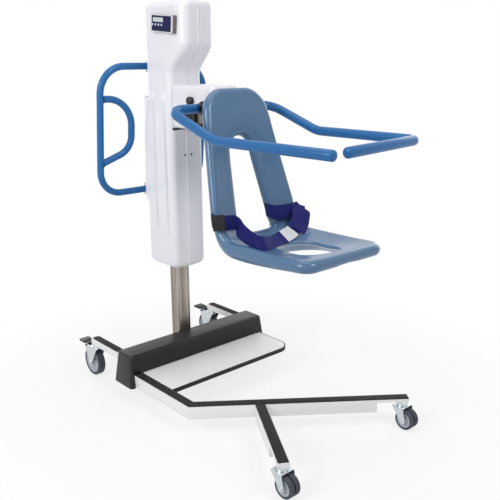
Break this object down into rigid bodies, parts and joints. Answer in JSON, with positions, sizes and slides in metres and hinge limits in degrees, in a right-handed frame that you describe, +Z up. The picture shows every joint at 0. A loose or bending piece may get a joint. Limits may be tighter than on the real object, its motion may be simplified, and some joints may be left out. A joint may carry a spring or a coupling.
{
  "type": "bath lift",
  "caption": "Mobile bath lift with a moulded seat on a powered column, swing-up safety arms, push handles and a castored base that reaches under a bath.",
  "frame": {"origin": "on the floor under the middle of the bounding box", "axes": "+Z up, the seat faces -Y, +X to the right as seen from in front"},
  "size_m": [0.7305, 1.3982, 1.55],
  "materials": {
    "painted_steel": "satin",
    "black_plastic": "matte",
    "white_board": "satin",
    "stainless": "brushed",
    "zinc_steel": "satin",
    "white_gloss": "gloss",
    "dark_inner": "matte",
    "seat_plastic": "gloss",
    "belt_web": "woven",
    "blue_tube": "satin",
    "blue_sleeve": "satin",
    "navy_face": "gloss",
    "display_pane": "gloss",
    "button_caps": "satin",
    "grey_hub": "satin",
    "grey_tyre": "matte"
  },
  "bodies": {
    "base": {"crossbeam": "painted_steel", "main_leg": "painted_steel", "diagonal_leg": "painted_steel", "branch_leg": "painted_steel", "rear_legs": "painted_steel", "leg_strips": "black_plastic", "crossbeam_cover": "black_plastic", "foot_platform": "white_board", "platform_edge": "black_plastic", "platform_brackets": "painted_steel", "mast": "stainless", "mast_gussets": "painted_steel", "lead_nut": "zinc_steel", "castor_heads": "zinc_steel"},
    "carriage": {"housing_left": "white_gloss", "housing_right": "white_gloss", "head_lid": "white_gloss", "housing_base": "white_gloss", "battery_cover": "white_gloss", "battery_pack": "dark_inner", "control_board": "dark_inner", "carriage_frame": "zinc_steel", "guide_blocks": "black_plastic", "gearbox": "zinc_steel", "motor": "dark_inner", "seat_bracket": "zinc_steel", "beam_cover": "white_gloss", "arm_pivots": "black_plastic", "seat_shell": "seat_plastic", "lap_belt": "belt_web", "belt_buckle": "black_plastic", "handle_left": "blue_tube", "handle_right": "blue_tube", "handle_clamp": "white_gloss", "display_case": "navy_face", "display_window": "display_pane", "housing_screws": "black_plastic"},
    "screw": {"lead_screw": "stainless"},
    "knob": {"clamp_knob": "black_plastic"},
    "arm_left": {"arm_left": "blue_sleeve"},
    "arm_right": {"arm_right": "blue_sleeve"},
    "button_1": {"button_1": "button_caps"},
    "button_2": {"button_2": "button_caps"},
    "button_3": {"button_3": "button_caps"},
    "button_4": {"button_4": "button_caps"},
    "front_left_swivel": {"front_left_fork": "zinc_steel"},
    "front_left_wheel": {"front_left_hub": "grey_hub", "front_left_tyres": "grey_tyre"},
    "front_right_swivel": {"front_right_fork": "zinc_steel"},
    "front_right_wheel": {"front_right_hub": "grey_hub", "front_right_tyres": "grey_tyre"},
    "rear_left_swivel": {"rear_left_fork": "zinc_steel"},
    "rear_left_wheel": {"rear_left_hub": "grey_hub", "rear_left_tyre": "grey_tyre"},
    "rear_right_swivel": {"rear_right_fork": "zinc_steel"},
    "rear_right_wheel": {"rear_right_hub": "grey_hub", "rear_right_tyre": "grey_tyre"},
    "rear_left_brake": {"rear_left_pedal": "black_plastic"},
    "rear_right_brake": {"rear_right_pedal": "black_plastic"}
  },
  "joints": [
    {"name": "lift_slide", "type": "slide", "parent": "base", "child": "carriage", "axis": [0, 0, 1], "range_m": [-0.28, 0.4]},
    {"name": "screw_spin", "type": "hinge", "parent": "carriage", "child": "screw", "pos_m": [-0.018, 0.319, 1], "axis": [0, 0, 1], "range_deg": [-10100, 14420]},
    {"name": "knob_turn", "type": "hinge", "parent": "carriage", "child": "knob", "pos_m": [-0.088, 0.172, 1.186], "axis": [1, 0, 0], "range_deg": [-180, 180]},
    {"name": "arm_left_swing", "type": "hinge", "parent": "carriage", "child": "arm_left", "pos_m": [-0.116, 0.072, 1.164], "axis": [-1, 0, 0], "range_deg": [0, 90]},
    {"name": "arm_right_swing", "type": "hinge", "parent": "carriage", "child": "arm_right", "pos_m": [0.08, 0.072, 1.164], "axis": [-1, 0, 0], "range_deg": [0, 90]},
    {"name": "button_1_press", "type": "slide", "parent": "carriage", "child": "button_1", "axis": [1, 0, 0], "range_m": [0, 0.001], "stiffness_N_per_m": 300},
    {"name": "button_2_press", "type": "slide", "parent": "carriage", "child": "button_2", "axis": [1, 0, 0], "range_m": [0, 0.001], "stiffness_N_per_m": 300},
    {"name": "button_3_press", "type": "slide", "parent": "carriage", "child": "button_3", "axis": [1, 0, 0], "range_m": [0, 0.001], "stiffness_N_per_m": 300},
    {"name": "button_4_press", "type": "slide", "parent": "carriage", "child": "button_4", "axis": [1, 0, 0], "range_m": [0, 0.001], "stiffness_N_per_m": 300},
    {"name": "front_left_swivel_turn", "type": "hinge", "parent": "base", "child": "front_left_swivel", "pos_m": [-0.332, -0.573, 0.1], "axis": [0, 0, 1], "continuous": true},
    {"name": "front_left_wheel_spin", "type": "hinge", "parent": "front_left_swivel", "child": "front_left_wheel", "pos_m": [-0.332, -0.597, 0.0375], "axis": [1, 0, 0], "continuous": true},
    {"name": "front_right_swivel_turn", "type": "hinge", "parent": "base", "child": "front_right_swivel", "pos_m": [0.296, -0.573, 0.1], "axis": [0, 0, 1], "continuous": true},
    {"name": "front_right_wheel_spin", "type": "hinge", "parent": "front_right_swivel", "child": "front_right_wheel", "pos_m": [0.296, -0.597, 0.0375], "axis": [1, 0, 0], "continuous": true},
    {"name": "rear_left_swivel_turn", "type": "hinge", "parent": "base", "child": "rear_left_swivel", "pos_m": [-0.322, 0.573, 0.1], "axis": [0, 0, 1], "continuous": true},
    {"name": "rear_left_wheel_spin", "type": "hinge", "parent": "rear_left_swivel", "child": "rear_left_wheel", "pos_m": [-0.322, 0.609, 0.0625], "axis": [1, 0, 0], "continuous": true},
    {"name": "rear_right_swivel_turn", "type": "hinge", "parent": "base", "child": "rear_right_swivel", "pos_m": [0.318, 0.573, 0.1], "axis": [0, 0, 1], "continuous": true},
    {"name": "rear_right_wheel_spin", "type": "hinge", "parent": "rear_right_swivel", "child": "rear_right_wheel", "pos_m": [0.318, 0.609, 0.0625], "axis": [1, 0, 0], "continuous": true},
    {"name": "rear_left_brake_press", "type": "hinge", "parent": "rear_left_swivel", "child": "rear_left_brake", "pos_m": [-0.322, 0.635, 0.134], "axis": [-1, 0, 0], "range_deg": [0, 18]},
    {"name": "rear_right_brake_press", "type": "hinge", "parent": "rear_right_swivel", "child": "rear_right_brake", "pos_m": [0.318, 0.635, 0.134], "axis": [-1, 0, 0], "range_deg": [0, 18]}
  ],
  "couplings": [
    {"joint": "screw_spin", "follows": "lift_slide", "rad_per_m": 628.32}
  ]
}
